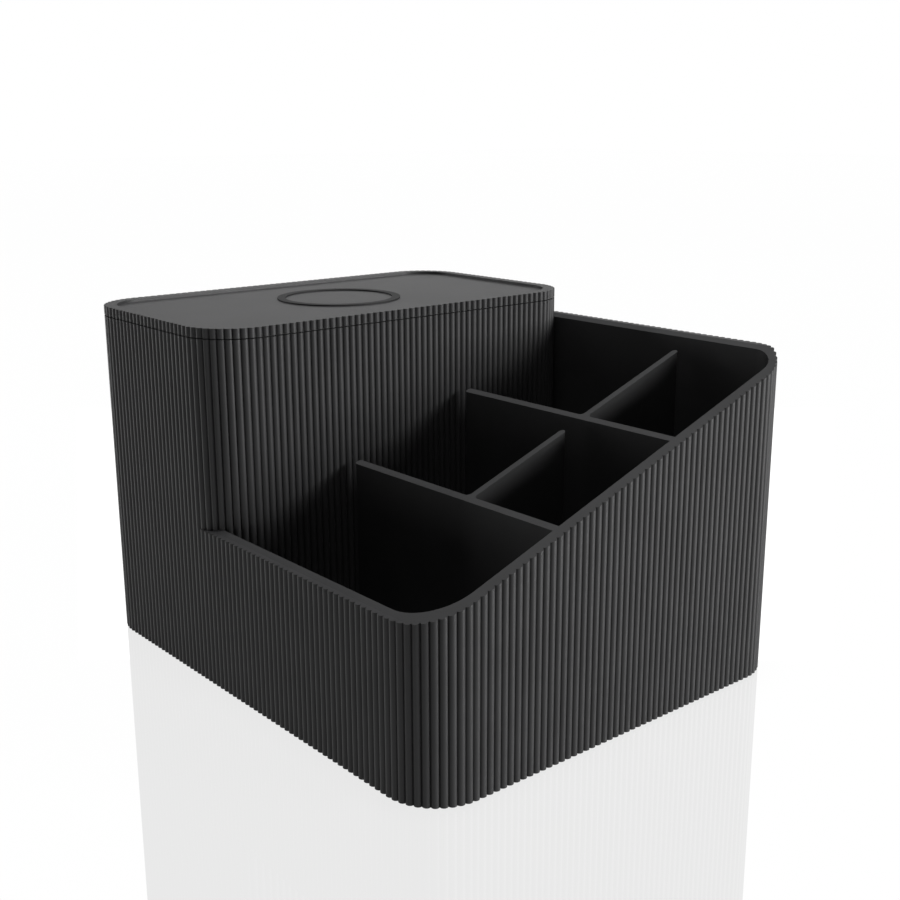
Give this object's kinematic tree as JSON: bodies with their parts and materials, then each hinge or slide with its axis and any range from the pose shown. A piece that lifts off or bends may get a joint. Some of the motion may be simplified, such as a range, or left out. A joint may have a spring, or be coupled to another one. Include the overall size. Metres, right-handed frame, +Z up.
{
  "type": "charging station organizer",
  "caption": "Desk organizer with open compartments behind a sloping rim and a wireless charging tower for a phone, in ribbed dark plastic.",
  "frame": {"origin": "centre of the footprint, on the desk surface", "axes": "+X to the right along the low front wall, away from the charging tower; +Y to the back; +Z up"},
  "size_m": [0.194, 0.16, 0.1228],
  "materials": {
    "body_plastic": "matt moulded charcoal",
    "deck_plastic": "matt moulded charcoal",
    "grip_silicone": "soft matt",
    "tray_plastic": "matt moulded",
    "ferrite": "sintered grey-black",
    "copper_winding": "enamelled copper",
    "lead_insulation": "flexible insulation",
    "sensor_bead": "dipped bead",
    "board_laminate": "green solder mask",
    "chip_plastic": "black moulding compound",
    "capacitor_body": "ceramic",
    "inductor_core": "ferrite",
    "shell_steel": "stamped steel",
    "screw_steel": "zinc plated",
    "foot_rubber": "matt black"
  },
  "bodies": {
    "root": {"organizer_body": "body_plastic", "charging_deck": "deck_plastic", "grip_ring": "grip_silicone", "charger_tray": "tray_plastic", "ferrite_sheet": "ferrite", "transmit_coil": "copper_winding", "coil_leads": "lead_insulation", "temperature_sensor": "sensor_bead", "circuit_board": "board_laminate", "controller_chip": "chip_plastic", "driver_chips": "chip_plastic", "resonance_capacitors": "capacitor_body", "filter_inductor": "inductor_core", "usb_c_shell": "shell_steel", "usb_c_tongue": "chip_plastic", "tray_screws": "screw_steel", "board_screws": "screw_steel", "foot_front_left": "foot_rubber", "foot_front_right": "foot_rubber", "foot_rear_left": "foot_rubber", "foot_rear_right": "foot_rubber"}
  },
  "joints": []
}
